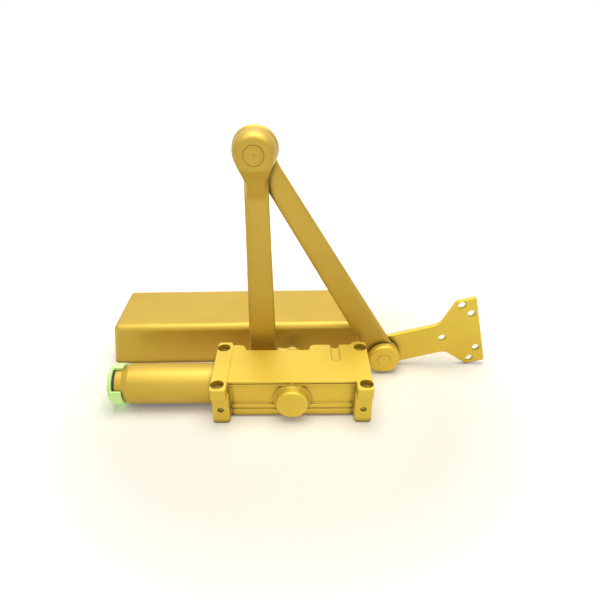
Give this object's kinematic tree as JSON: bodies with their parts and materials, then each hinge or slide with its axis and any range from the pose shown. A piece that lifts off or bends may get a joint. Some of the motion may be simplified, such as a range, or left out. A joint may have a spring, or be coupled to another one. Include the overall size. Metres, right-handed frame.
{
  "type": "surface door closer",
  "caption": "Rack-and-pinion surface door closer with spring tube, power dial, two-piece folding arm, flat mounting shoe and a loose box cover.",
  "frame": {"origin": "centre of the four mounting holes, on the door face of the body", "axes": "+Z away from the door, +X away from the spring tube, +Y along the pinion axis towards the arm"},
  "size_m": [0.477, 0.2133, 0.3012],
  "materials": {
    "gold_paint": "satin metallic gold paint",
    "green_plastic": "moulded pale green plastic",
    "steel": "machined",
    "spring_steel": "drawn wire",
    "iron": "machined cast iron",
    "bronze": "machined bearing bronze",
    "black_rubber": "moulded"
  },
  "bodies": {
    "closer": {"closer_body": "gold_paint", "spring_tube": "gold_paint", "tube_seal": "black_rubber", "tube_end_cap": "gold_paint", "dial_ring": "black_rubber", "outer_spring": "spring_steel", "inner_spring": "spring_steel", "body_end_plug": "gold_paint", "end_plug_seal": "black_rubber", "near_bearing": "bronze", "far_bearing": "bronze", "near_shaft_seal": "black_rubber", "far_shaft_seal": "black_rubber", "pinion_retainer": "steel", "pinion_cap": "gold_paint"},
    "main_arm": {"pinion_shaft": "steel", "main_arm": "gold_paint", "arm_washer": "steel", "arm_screw": "steel", "elbow_stud": "gold_paint", "elbow_washer": "steel"},
    "piston": {"piston": "iron", "piston_seal": "black_rubber", "check_valve": "steel"},
    "forearm": {"forearm": "gold_paint", "elbow_bush": "bronze", "shoe_bush": "bronze"},
    "shoe": {"shoe_stud": "gold_paint", "shoe_disc": "gold_paint", "shoe_washer": "steel", "shoe_plate": "gold_paint"},
    "power_adjuster": {"power_dial": "green_plastic", "adjusting_screw": "steel"},
    "spring_nut": {"spring_nut": "steel"},
    "sweep_valve": {"sweep_valve": "bronze"},
    "latch_valve": {"latch_valve": "bronze"},
    "backcheck_valve": {"backcheck_valve": "bronze"},
    "cover": {"cover": "gold_paint"}
  },
  "joints": [
    {"name": "pinion_turn", "type": "hinge", "parent": "closer", "child": "main_arm", "pos_m": [0, 0, 0.0245], "axis": [0, 1, 0], "range_deg": [0, 146], "stiffness_Nm_per_rad": 8, "springref_deg": -68.75},
    {"name": "piston_slide", "type": "slide", "parent": "closer", "child": "piston", "axis": [1, 0, 0], "range_m": [-0.026, 0], "deforming": ["outer_spring", "inner_spring"]},
    {"name": "elbow_fold", "type": "hinge", "parent": "main_arm", "child": "forearm", "pos_m": [-0.0356, 0.05995, 0.277], "axis": [0, 1, 0], "range_deg": [-120, 13]},
    {"name": "shoe_swivel", "type": "hinge", "parent": "forearm", "child": "shoe", "pos_m": [0.1134, 0.05995, 0.021], "axis": [0, 1, 0], "range_deg": [-120, 120]},
    {"name": "power_turn", "type": "hinge", "parent": "closer", "child": "power_adjuster", "pos_m": [-0.20665, 0, 0.0245], "axis": [1, 0, 0], "range_deg": [-720, 720]},
    {"name": "nut_slide", "type": "slide", "parent": "closer", "child": "spring_nut", "axis": [1, 0, 0], "range_m": [-0.0035, 0.0035]},
    {"name": "sweep_turn", "type": "hinge", "parent": "closer", "child": "sweep_valve", "pos_m": [0.034, 0.0395, 0.033], "axis": [0, 1, 0], "range_deg": [-360, 360]},
    {"name": "latch_turn", "type": "hinge", "parent": "closer", "child": "latch_valve", "pos_m": [0.064, 0.0395, 0.033], "axis": [0, 1, 0], "range_deg": [-360, 360]},
    {"name": "backcheck_turn", "type": "hinge", "parent": "closer", "child": "backcheck_valve", "pos_m": [0.088, -0.022, 0.043], "axis": [1, 0, 0], "range_deg": [-360, 360]},
    {"name": "cover_lift", "type": "slide", "parent": "closer", "child": "cover", "axis": [0, 0, 1], "range_m": [0, 0.1]}
  ],
  "couplings": [
    {"joint": "piston_slide", "follows": "pinion_turn", "m_per_rad": -0.01},
    {"joint": "power_turn", "follows": "nut_slide", "rad_per_m": 3590.4}
  ]
}
